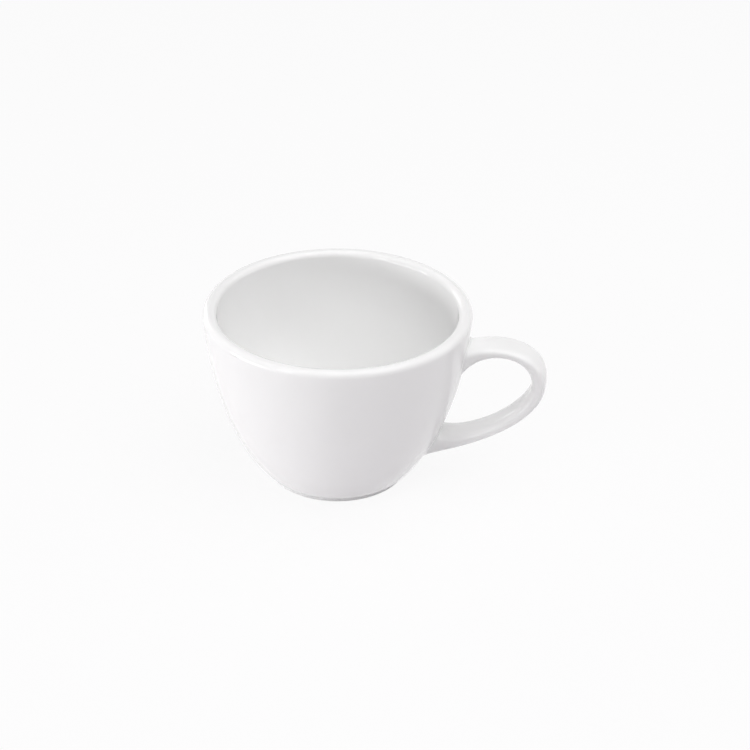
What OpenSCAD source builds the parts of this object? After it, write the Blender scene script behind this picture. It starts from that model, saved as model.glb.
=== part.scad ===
// Coffee cup: a thick-lipped porcelain bowl on a foot ring, with a strap handle
// that is stuck to the wall by two joints of slip. Millimetres, Z up.
// The origin is on the bowl's axis, on the plane that the foot ring stands on.
// The handle points along +X.

/* [Bowl] */
// Outside diameter of the rim
rim_d = 90; // [76:1:110]
// Height from the standing plane to the top of the lip
cup_h = 62; // [54:1:80]
// Outside diameter of the foot ring
foot_d = 48; // [40:1:56]
// Thickness of the rolled lip
lip_t = 4.6; // [3.4:0.1:5.6]
// Thickness of the wall at mid height
wall_t = 4; // [3:0.1:5]
// Thickness of the floor inside the foot ring
floor_t = 4.6; // [3.5:0.1:7]
// Angle at which the wall leaves the foot ring, above level
wall_foot_angle = 36; // [28:1:50]
// Angle by which the wall still leans out at the rim
rim_lean_angle = 4; // [0:0.5:8]

/* [Foot ring] */
// Height of the ring's outside, up to the crease where the wall starts
foot_h = 1.1; // [0.9:0.1:2]
// Width of the unglazed land that the cup stands on
land_w = 2.2; // [1.5:0.1:3.5]
// Depth of the recess inside the ring
recess_h = 2.4; // [1.5:0.1:4]
// Radius of the ring's standing edges
foot_round = 0.5; // [0.2:0.1:0.7]

/* [Handle] */
// Reach of the handle beyond the rim
handle_reach = 25.8; // [20:0.5:34]
// Width of the strap
strap_w = 11.6; // [9:0.2:15]
// Thickness of the strap at its outer end
strap_t = 4.9; // [3.8:0.1:6]
// How square the strap's section is: 2 is an ellipse
strap_squareness = 3; // [2:0.1:4]
// From the top of the lip down to the top of the upper root
upper_root_drop = 9.7; // [8:0.1:14]
// Height of the upper root on the wall
upper_root_h = 9.6; // [7:0.1:12]
// From the standing plane up to the bottom of the lower root
lower_root_rise = 9.6; // [7:0.1:14]
// Height of the lower root on the wall
lower_root_h = 9; // [7:0.1:12]
// How far each side of the strap spreads at a root
root_spread = 0.9; // [0:0.1:2]
// Length of strap over which it spreads
root_spread_l = 7; // [3:0.5:12]

/* [Slip joints] */
// Thickness of the slip between the handle and the wall
slip_t = 0.4; // [0.2:0.05:0.8]
// Width of the bead of slip round a root
slip_bead = 1.4; // [0.6:0.1:1.8]
// Gap left between the slip and the wall
slip_seat = 0.04; // [0.03:0.01:0.1]

/* [Colours] */
// Colour of the glazed bowl
bowl_colour = "white"; // [white, ivory, lightsteelblue]
// Colour of the glazed handle
handle_colour = "whitesmoke"; // [whitesmoke, ivory, lightsteelblue]
// Colour of the slip
slip_colour = "gainsboro"; // [gainsboro, linen, silver]

/* [Hidden] */

// Facets round the bowl
bowl_facets = 96;
// Steps along a wall curve, steps from the foot to the turn of the wall, where its
// thickness is set, and steps round the lip and round an edge of the foot
wall_steps = 18;
turn_step = 8;
lip_steps = 10;
edge_steps = 3;
// Steps along each half of the handle, and points round its section
arm_steps = 16;
section_points = 28;

rim_r = rim_d / 2;
foot_r = foot_d / 2;
lip_r = lip_t / 2;
lip_z = cup_h - lip_r;
floor_z = recess_h + floor_t;

// Reach of each end of the wall's curves, as shares of their chords: outside, then
// inside above and below the turn of the wall
outer_wall_lead_shares = [0.1, 0.58];
upper_inner_lead_shares = [0.40, 0.32];
lower_inner_lead_shares = [0.34, 0.46];
// Radius of the flat middle of the inside, as a share of the foot's
inner_flat_share = 0.15;
// Height of the handle's outermost point between the roots, and how far the two
// curves of its outline hold their direction, as shares of each curve's chord:
// at the upper root, above the outer end, below the outer end, at the lower root
tip_share = 0.715;
outer_lead_shares = [0.29, 0.50, 0.26, 0.43];
inner_lead_shares = [0.59, 0.49, 0.22, 0.40];
// Angles above level at which the outline's two curves leave the upper root and
// reach the lower one
outer_root_angles = [20, 19];
inner_root_angles = [57, -3];
// Most that a bead of slip covers of the strap's first step, as a share of it
bead_limit_share = 0.9;
// Size of the ring of points within an end face, as a share of the face's
half_share = 0.5;

// Points of a cubic curve from a to b, which leaves along angle_a for lead_a and
// arrives from angle_b and lead_b
function curve(a, angle_a, lead_a, b, angle_b, lead_b, steps) =
    let (p = a + lead_a * [cos(angle_a), sin(angle_a)])
    let (q = b + lead_b * [cos(angle_b), sin(angle_b)])
    [for (i = [0 : steps])
        let (t = i / steps, s = 1 - t)
        s^3 * a + 3 * s^2 * t * p + 3 * s * t^2 * q + t^3 * b];

// Points of a circular arc about c from angle_a to angle_b
function arc(c, r, angle_a, angle_b, steps) =
    [for (i = [0 : steps])
        let (a = angle_a + (angle_b - angle_a) * i / steps)
        c + r * [cos(a), sin(a)]];

// A list without its first item, and a list back to front
function rest(list) = [for (i = [1 : len(list) - 1]) list[i]];
function reverse(list) = [for (i = [len(list) - 1 : -1 : 0]) list[i]];

// Outside of the wall, from the foot ring up to the lip
wall_start = [foot_r, foot_h];
wall_end = [rim_r, lip_z];
outer_chord = norm(wall_end - wall_start);
outer_wall = curve(
    wall_start, wall_foot_angle, outer_wall_lead_shares[0] * outer_chord,
    wall_end, 270 - rim_lean_angle, outer_wall_lead_shares[1] * outer_chord,
    wall_steps);

// Inside of the wall: from the lip to a point that lies the wall's thickness inside
// the outer curve, and on to the flat middle of the floor
side_step = outer_wall[turn_step + 1] - outer_wall[turn_step - 1];
side_angle = atan2(side_step.y, side_step.x);
inner_start = [rim_r - lip_t, lip_z];
inner_side = outer_wall[turn_step] + wall_t * [-sin(side_angle), cos(side_angle)];
inner_end = [foot_r * inner_flat_share, floor_z];
upper_inner_chord = norm(inner_start - inner_side);
lower_inner_chord = norm(inner_side - inner_end);
inner_wall = concat(
    curve(
        inner_start, 270 - rim_lean_angle, upper_inner_lead_shares[0] * upper_inner_chord,
        inner_side, side_angle, upper_inner_lead_shares[1] * upper_inner_chord,
        wall_steps - turn_step),
    rest(curve(
        inner_side, side_angle + 180, lower_inner_lead_shares[0] * lower_inner_chord,
        inner_end, 0, lower_inner_lead_shares[1] * lower_inner_chord,
        turn_step)));

lip = arc([rim_r - lip_r, lip_z], lip_r, 0, 180, lip_steps);

// The foot ring in section, from the recess round the land to its outside
recess_r = foot_r - land_w - foot_round;
foot_section = concat(
    [[0, recess_h]],
    arc([recess_r - recess_h + foot_round, foot_round],
        recess_h - foot_round, 90, 0, edge_steps),
    rest(arc([recess_r + foot_round, foot_round], foot_round, 180, 270, edge_steps)),
    arc([foot_r - foot_round, foot_round], foot_round, 270, 360, edge_steps));

bowl_section = concat(foot_section, outer_wall, rest(lip), rest(inner_wall), [[0, floor_z]]);

// Outside radius of the wall at height z
wall_table = [for (p = outer_wall) [p.y, p.x]];
function wall_radius(z) = lookup(z, wall_table);

// A point at height z and distance y beside the handle's plane, out from the wall
function on_wall(z, y, out) = [sqrt((wall_radius(z) + out)^2 - y^2), y, z];

// The handle's outline, in the plane through its middle. Each curve runs from the
// upper root over the outer end to the lower root.
upper_top = cup_h - upper_root_drop;
upper_bottom = upper_top - upper_root_h;
lower_bottom = lower_root_rise;
lower_top = lower_bottom + lower_root_h;
tip_z = lower_bottom + tip_share * (upper_top - lower_bottom);

function root_point(z) = [wall_radius(z) + slip_t, z];

function outline_curve(top_z, tip_x, bottom_z, angles, shares) =
    let (top = root_point(top_z), tip = [tip_x, tip_z], bottom = root_point(bottom_z))
    let (upper = norm(tip - top), lower = norm(tip - bottom))
    concat(
        curve(top, angles[0], shares[0] * upper, tip, 90, shares[1] * upper, arm_steps),
        rest(curve(tip, 270, shares[2] * lower, bottom, angles[1], shares[3] * lower,
            arm_steps)));

outer_outline = outline_curve(
    upper_top, rim_r + handle_reach, lower_bottom, outer_root_angles, outer_lead_shares);
inner_outline = outline_curve(
    upper_bottom, rim_r + handle_reach - strap_t, lower_top, inner_root_angles,
    inner_lead_shares);

// A signed power, for the rounded square section of the strap
function signed_power(v, e) = sign(v) * abs(v)^e;

// The section as shares of its half width and half thickness
section_shares = [for (k = [0 : section_points - 1])
    let (a = 360 * k / section_points)
    [signed_power(cos(a), 2 / strap_squareness), signed_power(sin(a), 2 / strap_squareness)]];

// Length of the handle from its upper root to each section, and back from the end
function run(points, i) = i == 0 ? 0 : run(points, i - 1) + norm(points[i] - points[i - 1]);
middle_line = (outer_outline + inner_outline) / 2;
last_ring = len(middle_line) - 1;
runs = [for (i = [0 : last_ring]) run(middle_line, i)];

// Nearness of a section to a root: 1 at the wall, 0 beyond the spread
function nearness(i) =
    let (d = min(runs[i], runs[last_ring] - runs[i]))
    max(0, 1 - d / root_spread_l)^2;
function half_width(i) = strap_w / 2 + root_spread * nearness(i);

// One section of the strap. Towards a root it bends to the roundness of the wall.
function ring(i) =
    let (near = nearness(i), half = (outer_outline[i] - inner_outline[i]) / 2)
    [for (s = section_shares)
        let (y = s.x * half_width(i), p = middle_line[i] + s.y * half)
        let (wall_bend = on_wall(p.y, y, slip_t).x - on_wall(p.y, 0, slip_t).x)
        i == 0 || i == last_ring
            ? on_wall(p.y, y, slip_t)
            : [p.x + near * wall_bend, y, p.y]];

// A root's section drawn out or in about its middle, on the wall. Grow is a length
// added to its half height and half width.
function root_ring(i, share, grow, out) =
    let (mid_z = middle_line[i].y)
    let (half_h = abs(outer_outline[i].y - inner_outline[i].y) / 2)
    let (turn = outer_outline[i].y > inner_outline[i].y ? 1 : -1)
    [for (s = section_shares)
        on_wall(mid_z + turn * s.y * (half_h * share + grow),
            s.x * (half_width(i) * share + grow), out)];

// A solid through a list of closed rings of points. The first and last items are
// single points, which close the two ends.
module loft(rings) {
    n = section_points;
    inner = [for (r = [1 : len(rings) - 2]) rings[r]];
    points = concat([rings[0]], [for (r = inner) each r], [rings[len(rings) - 1]]);
    rows = len(inner);
    last = len(points) - 1;
    faces = concat(
        [for (k = [0 : n - 1]) [0, 1 + k, 1 + (k + 1) % n]],
        [for (r = [0 : rows - 2], k = [0 : n - 1])
            let (a = 1 + r * n + k, b = 1 + r * n + (k + 1) % n)
            each [[a, b + n, b], [a, a + n, b + n]]],
        [for (k = [0 : n - 1])
            let (a = 1 + (rows - 1) * n)
            [last, a + (k + 1) % n, a + k]]);
    polyhedron(points, faces);
}

// The end face of a root, from its middle point to the ring within it
function end_rings(i, out) = [
    on_wall(middle_line[i].y, 0, out),
    root_ring(i, half_share, 0, out)];

// Ring of points where the bead of slip round end i stops on the strap, on the way to
// the next section
function bead_end(i, next) =
    let (step = abs(runs[next] - runs[i]))
    ring(i) + min(bead_limit_share, slip_bead / step) * (ring(next) - ring(i));

upper_bead_end = bead_end(0, 1);
lower_bead_end = bead_end(last_ring, last_ring - 1);

// Slip between end i of the handle and the wall, from the wall outwards. Its bead goes
// round the root and ends on the strap.
function slip_rings(i, stop) =
    let (foot = root_ring(i, 1, slip_bead, slip_seat))
    let (bead = [for (k = [0 : section_points - 1])
        (foot[k] + 2 * ring(i)[k] + stop[k]) / 4])
    concat(
        end_rings(i, slip_seat),
        [foot, bead, stop, ring(i)],
        reverse(end_rings(i, slip_t)));

module bowl() {
    color(bowl_colour)
    rotate_extrude($fn = bowl_facets)
    polygon(bowl_section);
}

module handle() {
    color(handle_colour)
    loft(concat(
        end_rings(0, slip_t),
        [ring(0), upper_bead_end],
        [for (i = [1 : last_ring - 1]) ring(i)],
        [lower_bead_end, ring(last_ring)],
        reverse(end_rings(last_ring, slip_t))));
}

module upper_slip_joint() {
    color(slip_colour)
    loft(slip_rings(0, upper_bead_end));
}

module lower_slip_joint() {
    color(slip_colour)
    loft(reverse(slip_rings(last_ring, lower_bead_end)));
}

bowl();
handle();
upper_slip_joint();
lower_slip_joint();
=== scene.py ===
"""Looks of a glazed porcelain coffee cup: the bowl on its foot ring, the strap handle and
the two joints of slip that hold it, on a pale studio floor.

Metres, Z up. The origin is on the bowl's axis, on the plane that the foot ring stands on,
and the handle points along +X."""

import math

import bpy
import numpy as np
from bpy.props import FloatProperty, FloatVectorProperty, PointerProperty
from bpy.types import Operator, Panel, PropertyGroup
from mathutils import Matrix, Vector


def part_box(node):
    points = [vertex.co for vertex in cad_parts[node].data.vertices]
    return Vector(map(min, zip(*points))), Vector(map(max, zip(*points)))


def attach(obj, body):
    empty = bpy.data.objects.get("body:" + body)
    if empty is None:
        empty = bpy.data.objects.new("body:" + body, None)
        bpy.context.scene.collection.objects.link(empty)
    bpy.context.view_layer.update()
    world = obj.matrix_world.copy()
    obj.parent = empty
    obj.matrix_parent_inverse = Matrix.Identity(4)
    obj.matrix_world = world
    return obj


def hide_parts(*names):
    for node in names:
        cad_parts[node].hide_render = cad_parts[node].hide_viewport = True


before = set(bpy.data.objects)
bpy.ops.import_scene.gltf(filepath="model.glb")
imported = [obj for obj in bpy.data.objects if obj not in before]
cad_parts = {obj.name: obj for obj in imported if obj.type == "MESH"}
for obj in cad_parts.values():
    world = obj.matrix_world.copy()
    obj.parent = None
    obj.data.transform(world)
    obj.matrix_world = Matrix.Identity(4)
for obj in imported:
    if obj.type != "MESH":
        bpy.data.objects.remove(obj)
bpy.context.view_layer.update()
BOWL_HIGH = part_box("bowl")[1]
HANDLE_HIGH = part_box("handle")[1]
CUP_MIDDLE = Vector((0, 0, BOWL_HIGH.z / 2))
MM = 0.001

bl_info = {
    "name": "Glazed Coffee Cup",
    "version": (1, 0, 0),
    "blender": (4, 5, 0),
    "location": "3D View > Sidebar > Cup",
    "description": "Glazed bowl, strap handle and slip joints of a coffee cup",
    "category": "Object",
}

# Sizes and colours

# Fineness of the surfaces: steps along each curve, points of the wall that the handle's
# roots are placed on, and points round each section
WALL_STEPS = 96
LIP_STEPS = 32
EDGE_STEPS = 8
RECESS_STEPS = 3
LAND_STEPS = 4
WALL_POINTS = 400
BOWL_AROUND = 288
ARM_STEPS = 90
STRAP_AROUND = 96
FILLET_STEPS = 12

# Power that packs the steps of the wall's outside towards the foot
WALL_EASE = 1.25

# Curves of the wall. A lead is how far a curve holds its direction at one end, as a share
# of its chord. The inside turns beside one point of the outer curve, where the direction
# of the wall is taken over one small step to each side. Its flat middle is a share of the
# foot's radius.
OUTER_WALL_LEAD_SHARES = (0.10, 0.58)
UPPER_INNER_LEAD_SHARES = (0.40, 0.32)
LOWER_INNER_LEAD_SHARES = (0.34, 0.46)
TURN_SHARE = 8 / 18
TURN_STEP_SHARE = 0.01
INNER_FLAT_SHARE = 0.15

# Curves of the handle's outer and inner outline: height of the outer end between the two
# roots, leads, and angles above level at the upper and the lower root
TIP_SHARE = 0.715
OUTER_LEAD_SHARES = (0.29, 0.50, 0.26, 0.43)
INNER_LEAD_SHARES = (0.59, 0.49, 0.22, 0.40)
OUTER_ROOT_ANGLES = (math.radians(20), math.radians(19))
INNER_ROOT_ANGLES = (math.radians(57), math.radians(-3))

# Places along the strap, and the size of the ring of points within an end face of a slip
# joint, as a share of the face's
UPPER_ROOT = 0.0
OUTER_END = 1.0
LOWER_ROOT = 2.0
FACE_SHARE = 0.5

QUARTER = math.pi / 2
UP = QUARTER

# The glaze: size of the cloudy changes in its thickness and how much they show, size of
# the ripple in its surface, how far its lower edge wanders, how far it pools round the
# crease at the foot, and how strongly it bends light
CLOUD_SIZE = 22 * MM
CLOUD_SHARE = 0.25
RIPPLE_SIZE = 6 * MM
LINE_WANDER = 0.1 * MM
POOL_REACH = 0.8 * MM
GLAZE_IOR = 1.5

# The bare clay: size of its grain, how dark the grain gets, and its roughness
GRAIN_SIZE = 0.2 * MM
GRAIN_SHADE = 0.9
CLAY_ROUGHNESS = 0.75

# The floor: a round sheet of paper, the fan of triangles in its middle, its fibres to the
# metre, and how much of what the camera sees of it is plain white
FLOOR_RADIUS = 1.4
FLOOR_FAN_RADIUS = 14 * MM
PAPER_THICKNESS = 1 * MM
PAPER_FIBRES = 900.0
WHITE_SHARE = 0.9

# Softboxes round the cup, all at one distance: turn from the camera to the right and rise
# above level, in degrees, then width and height in metres
SOFTBOX_DISTANCE = 1.0
SOFTBOXES = (
    ("top", 90, 66, 1.3, 1.3),
    ("over", 12, 70, 1.3, 1.3),
    ("front", -42, 26, 0.25, 0.25),
    ("low", -70, 5, 0.7, 0.12),
    ("side", -87, 4, 0.12, 0.14),
    ("back", -142, 14, 0.4, 0.4),
    ("right", 90, 14, 0.5, 0.3),
    ("glint", 45, 30, 0.1, 0.1),
)

# Colours of the studio: the floor's paper at its palest and darkest, the even light, and
# plain white
PALE_PAPER = (0.88, 0.86, 0.88)
GREY_PAPER = (0.85, 0.83, 0.85)
EVEN_LIGHT = (1.0, 0.92, 1.0)
WHITE = (1.0, 1.0, 1.0)

# The camera's sensor, in millimetres, and the nearest and farthest that it sees, in metres
SENSOR_WIDTH = 36
CLIP_RANGE = (0.01, 10)


def length(name, description, default):
    """A size of the cup, shown in the scene's units."""
    return FloatProperty(
        name=name, description=description, default=default, min=0, unit="LENGTH", precision=5
    )


def angle(name, description, degrees):
    """An angle, given here in degrees."""
    return FloatProperty(
        name=name, description=description, default=math.radians(degrees), subtype="ANGLE"
    )


def number(name, description, default, high, unit="NONE"):
    """A number from zero to high."""
    return FloatProperty(
        name=name, description=description, default=default, min=0, max=high, unit=unit
    )


def power(name, description, default):
    """Power of a lamp, in watts."""
    return number(name, description, default, 100, "POWER")


def colour(name, description, default):
    """A colour, in linear light."""
    return FloatVectorProperty(
        name=name, description=description, default=default, size=3, subtype="COLOR", min=0, max=1
    )


class BowlSizes(PropertyGroup):
    """Sizes of the bowl and its foot ring"""

    rim_radius: length("Rim radius", "Outside radius of the rim", BOWL_HIGH.x)
    height: length("Height", "From the standing plane to the top of the lip", BOWL_HIGH.z)
    foot_radius: length("Foot radius", "Outside radius of the foot ring", 24 * MM)
    lip: length("Lip", "Thickness of the rolled lip", 4.6 * MM)
    wall: length("Wall", "Thickness of the wall at mid height", 4 * MM)
    floor: length("Floor", "Thickness of the floor inside the foot ring", 4.6 * MM)
    foot_angle: angle("Foot angle", "Angle at which the wall leaves the foot ring", 36)
    rim_lean: angle("Rim lean", "Angle by which the wall still leans out at the rim", 4)
    foot_height: length("Foot height", "Height of the foot ring's outside", 1.1 * MM)
    land: length("Land", "Width of the unglazed land", 2.2 * MM)
    recess: length("Recess", "Depth of the recess inside the foot ring", 2.4 * MM)
    foot_round: length("Foot round", "Radius of the ring's standing edges", 0.5 * MM)
    crease_round: length("Crease round", "Reach of the glaze that fills the crease", 0.4 * MM)


class HandleSizes(PropertyGroup):
    """Sizes of the strap handle"""

    tip: length("Tip", "Outermost point of the handle, from the axis", HANDLE_HIGH.x)
    width: length("Width", "Width of the strap", 11.6 * MM)
    thickness: length("Thickness", "Thickness of the strap at its outer end", 4.9 * MM)
    squareness: number("Squareness", "2 is an ellipse, 4 is nearly square", 3, 6)
    upper_drop: length("Upper drop", "From the lip down to the upper root", 9.7 * MM)
    upper_height: length("Upper height", "Height of the upper root", 9.6 * MM)
    lower_rise: length("Lower rise", "From the standing plane to the lower root", 9.6 * MM)
    lower_height: length("Lower height", "Height of the lower root", 9 * MM)
    spread: length("Spread", "How far each side spreads at a root", 0.9 * MM)
    spread_length: length("Spread length", "Strap over which it spreads", 7 * MM)


class SlipSizes(PropertyGroup):
    """Sizes of the joints of slip under the glaze"""

    thickness: length("Thickness", "Slip between the handle and the wall", 0.4 * MM)
    bead: length("Bead", "Width of the bead round a root", 1.4 * MM)
    sink: length("Sink", "How far the bead's edge lies under the glaze", 0.02 * MM)


class Finish(PropertyGroup):
    """Colours and gloss of the glaze and the bare clay"""

    glaze: colour("Glaze", "Colour of the glaze", (0.94, 0.94, 0.935))
    pooled: colour("Pooled glaze", "Colour of the glaze where it lies thick", (0.91, 0.915, 0.91))
    bare: colour("Bare clay", "Colour of the unglazed land", (0.70, 0.67, 0.62))
    roughness: number("Roughness", "Roughness of the glaze", 0.04, 1)
    ripple: length("Ripple", "Depth of the ripple in the glaze", 0.006 * MM)
    glaze_line: length("Glaze line", "Height at which the glaze stops on the foot", 0.22 * MM)


class Studio(PropertyGroup):
    """Camera and lights"""

    view_turn: angle("View turn", "Turn of the camera about the bowl's axis", 9.5)
    view_rise: angle("View rise", "Angle of the camera above level", 30.31)
    view_roll: angle("View roll", "Roll of the camera, clockwise in the picture", 0.839)
    distance: length("Distance", "Camera to the middle of the cup", 0.7)
    aim_out: length("Aim out", "Aim of the camera, from the bowl's axis to the right", 12.72 * MM)
    aim_up: length("Aim up", "Aim of the camera above the standing plane", 35.72 * MM)
    lens: number("Lens", "Focal length in millimetres", 98.6, 400, "CAMERA")
    top: power("Top", "Softbox high on the right", 6.3)
    over: power("Over", "Softbox over the cup, a little to the front", 5.3)
    front: power("Front", "Softbox in front on the left", 1.0)
    low: power("Low", "Long low softbox on the left", 3.0)
    side: power("Side", "Small low softbox on the left", 1.5)
    back: power("Back", "Softbox behind on the left", 0.9)
    right: power("Right", "Low softbox on the right", 0.6)
    glint: power("Glint", "Small softbox in front on the right", 0.12)
    fill: number("Fill", "Strength of the even light from all round", 0.08, 4)


# Curves


def heading(a):
    """Unit vector at angle a above level."""
    return np.array([math.cos(a), math.sin(a)])


def cubic(a, angle_a, lead_a, b, angle_b, lead_b, t):
    """Points (1-t)^3 a + 3 (1-t)^2 t p + 3 (1-t) t^2 q + t^3 b of a cubic curve.

    p lies lead_a from a along angle_a, and q lies lead_b from b along angle_b."""
    a, b = np.asarray(a, float), np.asarray(b, float)
    p = a + lead_a * heading(angle_a)
    q = b + lead_b * heading(angle_b)
    t = np.asarray(t, float)[:, None]
    s = 1 - t
    return s**3 * a + 3 * s**2 * t * p + 3 * s * t**2 * q + t**3 * b


def arc(centre, radius, angle_a, angle_b, steps):
    """Points centre + radius (cos a, sin a), with a from angle_a to angle_b."""
    a = np.linspace(angle_a, angle_b, steps + 1)[:, None]
    return np.asarray(centre) + radius * np.hstack([np.cos(a), np.sin(a)])


def line(a, b, steps):
    """Points on the straight line from a to b."""
    t = np.linspace(0, 1, steps + 1)[:, None]
    return (1 - t) * np.asarray(a) + t * np.asarray(b)


def join(*curves):
    """The curves as one list of points, without the first point of each later one."""
    return np.concatenate([curves[0], *(c[1:] for c in curves[1:])])


def chord(a, b):
    """Distance between two points."""
    return float(np.linalg.norm(np.asarray(b) - np.asarray(a)))


# The bowl


def outer_wall(bowl, t):
    """Outside of the wall in section, (radius, height), from the foot ring to the lip."""
    start = (bowl.foot_radius, bowl.foot_height)
    end = (bowl.rim_radius, bowl.height - bowl.lip / 2)
    reach = chord(start, end)
    return cubic(
        start, bowl.foot_angle, OUTER_WALL_LEAD_SHARES[0] * reach,
        end, -UP - bowl.rim_lean, OUTER_WALL_LEAD_SHARES[1] * reach, t,
    )


def inner_wall(bowl):
    """Inside of the wall in section, from the lip to the flat middle of the floor.

    Two cubic curves meet at the turn of the wall, at the wall's thickness inside the outer
    curve and along its direction there."""
    near_turn = TURN_SHARE + TURN_STEP_SHARE * np.array([-1, 0, 1])
    before, turn, after = outer_wall(bowl, near_turn)
    side_angle = math.atan2(*(after - before)[::-1])
    start = (bowl.rim_radius - bowl.lip, bowl.height - bowl.lip / 2)
    side = turn + bowl.wall * heading(side_angle + QUARTER)
    end = (bowl.foot_radius * INNER_FLAT_SHARE, bowl.recess + bowl.floor)
    upper, lower = chord(start, side), chord(side, end)
    steps = np.linspace(0, 1, WALL_STEPS // 2 + 1)
    return join(
        cubic(start, -UP - bowl.rim_lean, UPPER_INNER_LEAD_SHARES[0] * upper,
              side, side_angle, UPPER_INNER_LEAD_SHARES[1] * upper, steps),
        cubic(side, side_angle + math.pi, LOWER_INNER_LEAD_SHARES[0] * lower,
              end, 0, LOWER_INNER_LEAD_SHARES[1] * lower, steps),
    )


def foot_ring(bowl):
    """The foot ring in section: recess, cove, land with its two round edges, outside."""
    edge = bowl.foot_round
    inner = bowl.foot_radius - bowl.land - edge
    cove = bowl.recess - edge
    return join(
        line((inner - 2 * cove, bowl.recess), (inner - cove, bowl.recess), RECESS_STEPS),
        arc((inner - cove, edge), cove, QUARTER, 0, EDGE_STEPS),
        arc((inner + edge, edge), edge, 2 * QUARTER, 3 * QUARTER, EDGE_STEPS),
        line((inner + edge, 0), (bowl.foot_radius - edge, 0), LAND_STEPS),
        arc((bowl.foot_radius - edge, edge), edge, 3 * QUARTER, 4 * QUARTER, EDGE_STEPS),
    )


def crease(bowl, wall):
    """Glaze in the crease between the foot ring and the wall: a short cubic curve that
    leaves the ring upwards and arrives along the wall. Returns it and the rest of the wall."""
    reach = bowl.crease_round
    start = (bowl.foot_radius, bowl.foot_height - reach)
    gone = np.linalg.norm(wall - wall[0], axis=1)
    kept = wall[gone > reach]
    end, onward = kept[0], kept[1] - kept[0]
    back = math.atan2(onward[1], onward[0]) + math.pi
    steps = np.linspace(0, 1, EDGE_STEPS + 1)
    return cubic(start, UP, reach / 2, end, back, reach / 2, steps), kept


def bowl_section(bowl):
    """Half section of the bowl, (radius, height), from near the middle of its underside
    round the foot, up the wall, over the lip and down to near the middle of the floor."""
    ease = np.linspace(0, 1, WALL_STEPS + 1) ** WALL_EASE
    fill, wall = crease(bowl, outer_wall(bowl, ease))
    foot = foot_ring(bowl)
    lip_centre = (bowl.rim_radius - bowl.lip / 2, bowl.height - bowl.lip / 2)
    return join(
        np.concatenate([foot, fill]),
        wall,
        arc(lip_centre, bowl.lip / 2, 0, math.pi, LIP_STEPS),
        inner_wall(bowl),
    )


def turned(section):
    """Rings of a surface of revolution: (r cos v, r sin v, z) for each (r, z) of a section,
    with v once round."""
    v = np.linspace(0, 2 * math.pi, BOWL_AROUND, endpoint=False)
    r, z = section[:, :1], section[:, 1:]
    return np.stack([r * np.cos(v), r * np.sin(v), np.broadcast_to(z, (len(r), len(v)))], -1)


# The handle


class Wall:
    """The outside of the bowl's wall, for what is stuck to it."""

    def __init__(self, bowl):
        self.points = outer_wall(bowl, np.linspace(0, 1, WALL_POINTS))

    def radius(self, z):
        """Radius of the wall at height z."""
        return np.interp(z, self.points[:, 1], self.points[:, 0])

    def at(self, y, z, out):
        """Point at height z, y beside the handle's plane and out from the wall:
        x = sqrt((radius(z) + out)^2 - y^2)."""
        r = self.radius(z) + out
        return np.stack([np.sqrt(r**2 - y**2), y, z], -1)


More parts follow.
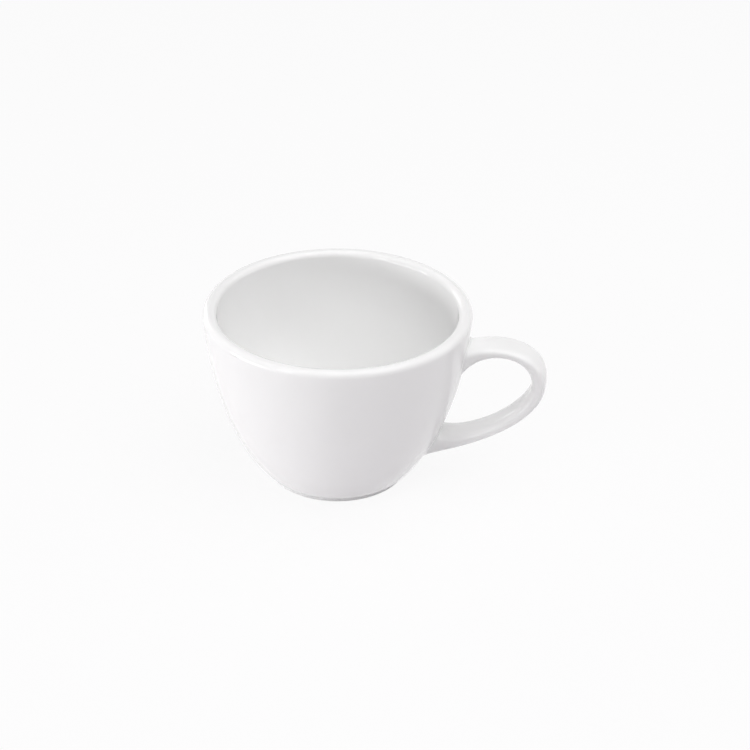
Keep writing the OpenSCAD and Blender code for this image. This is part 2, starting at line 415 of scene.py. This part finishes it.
class Strap:
    """The strap handle: a rounded square section carried along two outlines.

    Each outline is two cubic curves, from the upper root over the outer end to the lower
    root. The section is the superellipse |x|^n + |y|^n = 1 with n its squareness. Places
    along the strap are given by t, from UPPER_ROOT over OUTER_END to LOWER_ROOT."""

    def __init__(self, bowl, handle, slip):
        self.handle, self.slip, self.wall = handle, slip, Wall(bowl)
        self.top = bowl.height - handle.upper_drop
        self.bottom = handle.lower_rise
        self.tip_z = self.bottom + TIP_SHARE * (self.top - self.bottom)
        a = np.linspace(0, 2 * math.pi, STRAP_AROUND, endpoint=False)
        exponent = 2 / handle.squareness
        self.across = np.sign(np.cos(a)) * np.abs(np.cos(a)) ** exponent
        self.up = np.sign(np.sin(a)) * np.abs(np.sin(a)) ** exponent
        steps = np.linspace(UPPER_ROOT, LOWER_ROOT, 2 * ARM_STEPS + 1)
        middle = sum(self.outlines(steps)) / 2
        gone = np.cumsum(np.linalg.norm(np.diff(middle, axis=0, prepend=middle[:1]), axis=1))
        self.length = gone[-1]
        self.steps, self.gone = steps, gone

    def outline(self, t, top_z, tip_x, bottom_z, angles, leads):
        """Points of one outline at t."""
        top = (self.wall.radius(top_z) + self.slip.thickness, top_z)
        bottom = (self.wall.radius(bottom_z) + self.slip.thickness, bottom_z)
        tip = (tip_x, self.tip_z)
        upper, lower = chord(top, tip), chord(tip, bottom)
        first = cubic(top, angles[0], leads[0] * upper, tip, UP, leads[1] * upper,
                      np.minimum(t, OUTER_END))
        second = cubic(tip, -UP, leads[2] * lower, bottom, angles[1], leads[3] * lower,
                       np.maximum(t, OUTER_END) - OUTER_END)
        return np.where(t[:, None] < OUTER_END, first, second)

    def outlines(self, t):
        """The outer and the inner outline at t, as (x, z) points."""
        h = self.handle
        outer = self.outline(t, self.top, h.tip, self.bottom,
                             OUTER_ROOT_ANGLES, OUTER_LEAD_SHARES)
        inner = self.outline(t, self.top - h.upper_height, h.tip - h.thickness,
                             self.bottom + h.lower_height, INNER_ROOT_ANGLES, INNER_LEAD_SHARES)
        return outer, inner

    def at_run(self, run):
        """The t that lies a given length along the strap."""
        return np.interp(run, self.gone, self.steps)

    def half_width(self, near):
        """Half the strap's width, which spreads towards a root."""
        return self.handle.width / 2 + self.handle.spread * near

    def rings(self, t):
        """Sections of the strap at t. Towards a root they bend to the roundness of the wall
        and take its profile, by nearness = (1 - d / spread length)^2 with d from the root."""
        t = np.atleast_1d(np.asarray(t, float))
        outer, inner = self.outlines(t)
        middle, half = (outer + inner) / 2, (outer - inner) / 2
        run = np.interp(t, self.steps, self.gone)
        away = np.minimum(run, self.length - run)
        near = np.maximum(0, 1 - away / self.handle.spread_length)[:, None] ** 2
        y = self.across * self.half_width(near)
        x = middle[:, :1] + self.up * half[:, :1]
        z = middle[:, 1:] + self.up * half[:, 1:]
        r = self.wall.radius(z) + self.slip.thickness
        round_bend = np.sqrt(r**2 - y**2) - r
        root = np.where(t < OUTER_END, UPPER_ROOT, LOWER_ROOT)
        root_outer, root_inner = self.outlines(root)
        root_middle, root_half = (root_outer + root_inner) / 2, (root_outer - root_inner) / 2
        root_x = root_middle[:, :1] + self.up * root_half[:, :1]
        root_z = root_middle[:, 1:] + self.up * root_half[:, 1:]
        profile_bend = self.wall.radius(root_z) + self.slip.thickness - root_x
        return np.stack([x + near * (round_bend + profile_bend), y, z], -1)

    def root_ring(self, root, share, grow, out):
        """A root's section on the wall, scaled by share about its middle and drawn out by
        grow. Root is UPPER_ROOT or LOWER_ROOT, here and below."""
        outer, inner = (o[0] for o in self.outlines(np.array([root])))
        middle_z, half_h = (outer[1] + inner[1]) / 2, (outer[1] - inner[1]) / 2
        z = middle_z + self.up * (half_h * share + math.copysign(grow, half_h))
        y = self.across * (self.half_width(1) * share + grow)
        return self.wall.at(y, z, out)

    def root_middle(self, root, out):
        """Middle point of a root on the wall."""
        outer, inner = (o[0] for o in self.outlines(np.array([root])))
        return self.wall.at(np.array(0.0), np.array((outer[1] + inner[1]) / 2), out)


def bead_t(strap, root):
    """Where the bead of slip ends on the strap."""
    bead = strap.slip.bead
    return strap.at_run(bead if root == UPPER_ROOT else strap.length - bead)


def strap_skin(strap):
    """All the sections of the strap, at t = 1 - cos a with a in even steps over half a
    turn, and one more at the edge of each bead."""
    ease = 1 - np.cos(np.linspace(0, math.pi, 2 * ARM_STEPS + 1))
    beads = [bead_t(strap, UPPER_ROOT), bead_t(strap, LOWER_ROOT)]
    t = np.unique(np.concatenate([ease, beads]))
    return strap.rings(t)


def bead_skin(strap, root):
    """Rings of a slip joint, from the middle of its back out to the handle's end.

    The bead is a fillet: at each point of the section it is the quadratic curve
    (1-s)^2 a + 2 s (1-s) b + s^2 c, from a on the wall, one bead's width outside the root,
    over b, where the strap's skin would meet the wall, to c on the strap."""
    slip = strap.slip
    on_strap = strap.rings(bead_t(strap, root))[0]
    end = strap.rings(root)[0]
    drawn_on = end + (end - on_strap) * slip.thickness / slip.bead
    corner = strap.wall.at(drawn_on[:, 1], drawn_on[:, 2], 0)
    on_wall = strap.root_ring(root, 1, slip.bead, -slip.sink)
    s = np.linspace(0, 1, FILLET_STEPS + 1)[:, None, None]
    fillet = (1 - s) ** 2 * on_wall + 2 * s * (1 - s) * corner + s**2 * on_strap
    back = strap.root_ring(root, FACE_SHARE, 0, -slip.sink)
    front = [strap.root_ring(root, 1, 0, slip.thickness),
             strap.root_ring(root, FACE_SHARE, 0, slip.thickness)]
    return np.concatenate([back[None], fillet, front])


# Meshes


def skin_mesh(name, first, rings, last):
    """Closed mesh over rings of points, (rings, points, 3), each end drawn to one point.

    Quad (i, j) joins points j and j+1 of ring i to the same points of ring i+1, with j
    counted round the ring, and each end is a fan of triangles."""
    count, around = rings.shape[:2]
    points = np.concatenate([[first], rings.reshape(-1, 3), [last]])
    here = 1 + np.arange(count * around).reshape(count, around)
    beside = np.roll(here, -1, axis=1)
    quads = np.stack([here[:-1], beside[:-1], beside[1:], here[1:]], -1).reshape(-1, 4)
    start = np.stack([np.zeros(around, int), beside[0], here[0]], -1)
    end = np.stack([np.full(around, len(points) - 1), here[-1], beside[-1]], -1)
    mesh = bpy.data.meshes.new(name)
    mesh.from_pydata(points.tolist(), [], start.tolist() + quads.tolist() + end.tolist())
    mesh.shade_smooth()
    return mesh


def crisp_rings(mesh, around, rows):
    """Marks the edges along some rings as sharp, so that each side keeps its own shading."""
    ends = np.empty(2 * len(mesh.edges), np.int32)
    mesh.edges.foreach_get("vertices", ends)
    row = (ends.reshape(-1, 2) - 1) // around
    sharp = (row[:, 0] == row[:, 1]) & np.isin(row[:, 0], rows)
    mesh.attributes.new("sharp_edge", "BOOLEAN", "EDGE").data.foreach_set("value", sharp)


def pool_attribute(mesh, rings, depth):
    """Marks where the glaze lies thick: one number from 0 to 1 for each point."""
    values = np.concatenate([[depth[0, 0]], np.broadcast_to(depth, rings.shape[:2]).ravel(),
                             [depth[-1, 0]]])
    mesh.attributes.new("pool", "FLOAT", "POINT").data.foreach_set(
        "value", values.astype(np.float32)
    )


def add_piece(name, mesh, material, node):
    """Adds a piece that stands for a CAD node and rides on the cup."""
    mesh.materials.append(material)
    piece = bpy.data.objects.new(name, mesh)
    bpy.context.scene.collection.objects.link(piece)
    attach(piece, "root")
    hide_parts(node)
    return piece


# Materials


class Nodes:
    """Short calls for a material's nodes."""

    def __init__(self, owner):
        owner.use_nodes = True
        self.tree = owner.node_tree
        self.tree.nodes.clear()

    def add(self, kind, settings=None, **inputs):
        """A node with its settings, and its inputs set or linked. An underscore in an
        input's name stands for a space."""
        node = self.tree.nodes.new(kind)
        for key, value in (settings or {}).items():
            setattr(node, key, value)
        for key, value in inputs.items():
            self.put(node.inputs[key.replace("_", " ")], value)
        return node

    def put(self, socket, value):
        """Links a socket, or sets its value."""
        if isinstance(value, bpy.types.NodeSocket):
            self.tree.links.new(value, socket)
        else:
            socket.default_value = value

    def math(self, operation, *values):
        """A number worked out from others."""
        node = self.tree.nodes.new("ShaderNodeMath")
        node.operation = operation
        for socket, value in zip(node.inputs, values):
            self.put(socket, value)
        return node.outputs[0]

    def mix(self, share, a, b):
        """Colour between a and b."""
        node = self.tree.nodes.new("ShaderNodeMix")
        node.data_type = "RGBA"
        self.put(node.inputs["Factor"], share)
        self.put(node.inputs["A"], a)
        self.put(node.inputs["B"], b)
        return node.outputs["Result"]


def rgba(values):
    """A colour with full opacity."""
    return (*values, 1.0)


def glaze_material(finish):
    """Clear glaze over white porcelain: a glossy surface with a faint ripple, a little
    greyer where it pools, and bare clay on the land of the foot ring."""
    material = bpy.data.materials.new("glazed_porcelain")
    nodes = Nodes(material)
    place = nodes.add("ShaderNodeTexCoord").outputs["Object"]
    cloud = nodes.add("ShaderNodeTexNoise", Vector=place, Scale=1 / CLOUD_SIZE, Detail=2.0)
    ripple = nodes.add("ShaderNodeTexNoise", Vector=place, Scale=1 / RIPPLE_SIZE, Detail=1.0)
    grain = nodes.add("ShaderNodeTexNoise", Vector=place, Scale=1 / GRAIN_SIZE, Detail=3.0)
    pool = nodes.add("ShaderNodeAttribute", {"attribute_name": "pool"}).outputs["Fac"]
    height = nodes.add("ShaderNodeSeparateXYZ", Vector=place).outputs["Z"]
    edge = nodes.math("MULTIPLY_ADD", cloud.outputs["Fac"], LINE_WANDER,
                      finish.glaze_line - LINE_WANDER / 2)
    bare = nodes.math("LESS_THAN", height, edge)

    depth = nodes.math("MULTIPLY_ADD", cloud.outputs["Fac"], CLOUD_SHARE, pool)
    glaze = nodes.mix(depth, rgba(finish.glaze), rgba(finish.pooled))
    dark_clay = [part * GRAIN_SHADE for part in finish.bare]
    clay = nodes.mix(grain.outputs["Fac"], rgba(finish.bare), rgba(dark_clay))
    roughness = nodes.math("MULTIPLY_ADD", ripple.outputs["Fac"], finish.roughness,
                           finish.roughness / 2)
    gloss = nodes.add(
        "ShaderNodeMix", {"data_type": "FLOAT"}, Factor=bare, A=roughness, B=CLAY_ROUGHNESS
    )
    relief = nodes.add(
        "ShaderNodeMix", {"data_type": "FLOAT"}, Factor=bare,
        A=ripple.outputs["Fac"], B=grain.outputs["Fac"],
    )
    bump = nodes.add("ShaderNodeBump", Strength=1.0, Distance=finish.ripple,
                     Height=relief.outputs["Result"])
    shader = nodes.add(
        "ShaderNodeBsdfPrincipled",
        Base_Color=nodes.mix(bare, glaze, clay),
        Roughness=gloss.outputs["Result"],
        IOR=GLAZE_IOR,
        Normal=bump.outputs["Normal"],
    )
    nodes.add("ShaderNodeOutputMaterial", Surface=shader.outputs["BSDF"])
    return material


def shared_glaze(scene):
    """The one glaze that all the pieces share."""
    return bpy.data.materials.get("glazed_porcelain") or glaze_material(scene.cup_finish)


def seen_directly(nodes):
    """1 where a ray comes from the camera, or from it by a reflection or through glass."""
    path = nodes.add("ShaderNodeLightPath")
    mirrored = nodes.math("MAXIMUM", path.outputs["Is Glossy Ray"],
                          path.outputs["Is Transmission Ray"])
    return nodes.math("MAXIMUM", path.outputs["Is Camera Ray"], mirrored)


def floor_material():
    """Pale matte paper. What the camera sees of it is mostly plain white, and the rest
    holds the cup's shadow."""
    material = bpy.data.materials.new("studio_paper")
    nodes = Nodes(material)
    place = nodes.add("ShaderNodeTexCoord").outputs["Object"]
    fibre = nodes.add("ShaderNodeTexNoise", Vector=place, Scale=PAPER_FIBRES, Detail=4.0)
    tone = nodes.mix(fibre.outputs["Fac"], rgba(GREY_PAPER), rgba(PALE_PAPER))
    paper = nodes.add("ShaderNodeBsdfDiffuse", Color=tone)
    white = nodes.add("ShaderNodeEmission", Color=rgba(WHITE), Strength=1.0)
    share_white = nodes.math("MULTIPLY", seen_directly(nodes), WHITE_SHARE)
    shader = nodes.add("ShaderNodeMixShader", Fac=share_white)
    nodes.put(shader.inputs[1], paper.outputs["BSDF"])
    nodes.put(shader.inputs[2], white.outputs["Emission"])
    nodes.add("ShaderNodeOutputMaterial", Surface=shader.outputs["Shader"])
    return material


# The studio


def add_floor():
    """Sheet of paper under the cup: a thin round plate turned about the bowl's axis."""
    near, far, under = FLOOR_FAN_RADIUS, FLOOR_RADIUS, -PAPER_THICKNESS
    section = np.array([(near, under), (far, under), (far, 0), (near, 0)])
    mesh = skin_mesh("floor", (0, 0, under), turned(section), (0, 0, 0))
    mesh.shade_flat()
    mesh.materials.append(floor_material())
    floor = bpy.data.objects.new("floor", mesh)
    bpy.context.scene.collection.objects.link(floor)


def add_softbox(name, turn, rise, width, height, watts):
    """A soft rectangular light aimed at the cup. Turn is about Z from the front of the cup
    towards the right, and rise is above level."""
    level = Vector((math.sin(turn), -math.cos(turn), 0))
    out = math.cos(rise) * level + Vector((0, 0, math.sin(rise)))
    lamp = bpy.data.lights.new(name, "AREA")
    lamp.shape = "RECTANGLE"
    lamp.size, lamp.size_y, lamp.energy = width, height, watts
    box = bpy.data.objects.new(name, lamp)
    box.location = CUP_MIDDLE + out * SOFTBOX_DISTANCE
    box.rotation_mode = "QUATERNION"
    box.rotation_quaternion = out.to_track_quat("Z", "Y")
    box.visible_camera = False
    bpy.context.scene.collection.objects.link(box)


def add_camera(studio):
    """The camera at the photograph's angle."""
    turn, rise, roll = studio.view_turn, studio.view_rise, studio.view_roll
    right = Vector((math.cos(turn), math.sin(turn), 0))
    toward = Vector((math.sin(turn), -math.cos(turn), 0))
    out = math.cos(rise) * toward + Vector((0, 0, math.sin(rise)))
    place = CUP_MIDDLE + studio.distance * out
    aim = studio.aim_out * right + Vector((0, 0, studio.aim_up))
    back = (place - aim).normalized()
    across = Vector((0, 0, 1)).cross(back).normalized()
    above = back.cross(across)
    x_axis = math.cos(roll) * across + math.sin(roll) * above
    y_axis = math.cos(roll) * above - math.sin(roll) * across
    data = bpy.data.cameras.new("camera")
    data.lens, data.sensor_width = studio.lens, SENSOR_WIDTH
    data.clip_start, data.clip_end = CLIP_RANGE
    camera = bpy.data.objects.new("camera", data)
    turned_to = Matrix((x_axis, y_axis, back)).transposed().to_4x4()
    camera.matrix_world = Matrix.Translation(place) @ turned_to
    bpy.context.scene.collection.objects.link(camera)
    bpy.context.scene.camera = camera


def set_world(studio):
    """Even light all round, and white where the camera or a reflection sees it."""
    world = bpy.data.worlds.new("studio_air")
    nodes = Nodes(world)
    fill = nodes.add("ShaderNodeBackground", Color=rgba(EVEN_LIGHT), Strength=studio.fill)
    white = nodes.add("ShaderNodeBackground", Color=rgba(WHITE), Strength=1.0)
    shader = nodes.add("ShaderNodeMixShader", Fac=seen_directly(nodes))
    nodes.put(shader.inputs[1], fill.outputs["Background"])
    nodes.put(shader.inputs[2], white.outputs["Background"])
    nodes.add("ShaderNodeOutputWorld", Surface=shader.outputs["Shader"])
    bpy.context.scene.world = world


# Operators


class CUP_OT_bowl(Operator):
    """Turn the glazed bowl with its lip and foot ring"""

    bl_idname = "cup.bowl"
    bl_label = "Bowl"

    def execute(self, context):
        scene = context.scene
        section = bowl_section(scene.cup_bowl)
        rings = turned(section)
        under, floor = (0, 0, section[0, 1]), (0, 0, section[-1, 1])
        mesh = skin_mesh("glazed_bowl", under, rings, floor)
        crease_r, crease_z = scene.cup_bowl.foot_radius, scene.cup_bowl.foot_height
        from_crease = np.hypot(section[:, 0] - crease_r, section[:, 1] - crease_z)
        pool_attribute(mesh, rings, np.exp(-((from_crease / POOL_REACH) ** 2))[:, None])
        add_piece("glazed_bowl", mesh, shared_glaze(scene), "bowl")
        return {"FINISHED"}


class CUP_OT_handle(Operator):
    """Bend the strap handle"""

    bl_idname = "cup.handle"
    bl_label = "Handle"

    def execute(self, context):
        scene = context.scene
        strap = Strap(scene.cup_bowl, scene.cup_handle, scene.cup_slip)
        rings = strap_skin(strap)
        slip_t = scene.cup_slip.thickness
        first = strap.root_middle(UPPER_ROOT, slip_t)
        last = strap.root_middle(LOWER_ROOT, slip_t)
        mesh = skin_mesh("glazed_handle", first, rings, last)
        pool_attribute(mesh, rings, np.zeros((len(rings), 1)))
        add_piece("glazed_handle", mesh, shared_glaze(scene), "handle")
        return {"FINISHED"}


class CUP_OT_slip_joints(Operator):
    """Lay the bead of slip round each root of the handle"""

    bl_idname = "cup.slip_joints"
    bl_label = "Slip joints"

    def execute(self, context):
        scene = context.scene
        strap = Strap(scene.cup_bowl, scene.cup_handle, scene.cup_slip)
        for root, word in ((UPPER_ROOT, "upper"), (LOWER_ROOT, "lower")):
            rings = bead_skin(strap, root)
            back = strap.root_middle(root, -scene.cup_slip.sink)
            front = strap.root_middle(root, scene.cup_slip.thickness)
            edges = [1, 1 + FILLET_STEPS]
            if root == LOWER_ROOT:
                rings, back, front = rings[::-1], front, back
                edges = [len(rings) - 1 - row for row in edges]
            mesh = skin_mesh(f"{word}_slip_bead", back, rings, front)
            crisp_rings(mesh, STRAP_AROUND, edges)
            middle = 1 - np.abs(np.linspace(-1, 1, len(rings)))
            pool_attribute(mesh, rings, middle[:, None])
            add_piece(f"{word}_slip_bead", mesh, shared_glaze(scene),
                      f"{word}_slip_joint")
        return {"FINISHED"}


class CUP_OT_studio(Operator):
    """Lay the floor, and set the camera, the lights and the even white air"""

    bl_idname = "cup.studio"
    bl_label = "Studio"

    def execute(self, context):
        scene = context.scene
        studio = scene.cup_studio
        add_floor()
        add_camera(studio)
        set_world(studio)
        for name, turn, rise, width, height in SOFTBOXES:
            add_softbox(f"{name}_softbox", studio.view_turn + math.radians(turn),
                        math.radians(rise), width, height, getattr(studio, name))
        scene.view_settings.view_transform = "Standard"
        return {"FINISHED"}


class VIEW3D_PT_cup(Panel):
    """Lists the pieces of the cup and their sizes"""

    bl_label = "Coffee Cup"
    bl_space_type = "VIEW_3D"
    bl_region_type = "UI"
    bl_category = "Cup"

    def draw(self, context):
        for operator, group in PIECES:
            if operator is not None:
                self.layout.operator(operator.bl_idname)
            settings = getattr(context.scene, group)
            for key in settings.bl_rna.properties.keys():
                if key not in ("rna_type", "name"):
                    self.layout.prop(settings, key)


GROUPS = {
    "cup_bowl": BowlSizes,
    "cup_handle": HandleSizes,
    "cup_slip": SlipSizes,
    "cup_finish": Finish,
    "cup_studio": Studio,
}
# Each operator with its settings, and the finish that all the pieces share
PIECES = (
    (None, "cup_finish"),
    (CUP_OT_bowl, "cup_bowl"),
    (CUP_OT_handle, "cup_handle"),
    (CUP_OT_slip_joints, "cup_slip"),
    (CUP_OT_studio, "cup_studio"),
)
CLASSES = (*GROUPS.values(), *(each[0] for each in PIECES if each[0]), VIEW3D_PT_cup)


def register():
    """Adds the classes, and the settings to the scene."""
    for each in CLASSES:
        bpy.utils.register_class(each)
    for name, group in GROUPS.items():
        setattr(bpy.types.Scene, name, PointerProperty(type=group))


def unregister():
    """Takes the settings and the classes away again."""
    for name in GROUPS:
        delattr(bpy.types.Scene, name)
    for each in reversed(CLASSES):
        bpy.utils.unregister_class(each)


def main():
    """Makes every piece and the studio."""
    register()
    bpy.ops.cup.bowl()
    bpy.ops.cup.handle()
    bpy.ops.cup.slip_joints()
    bpy.ops.cup.studio()


if __name__ == "__main__":
    main()
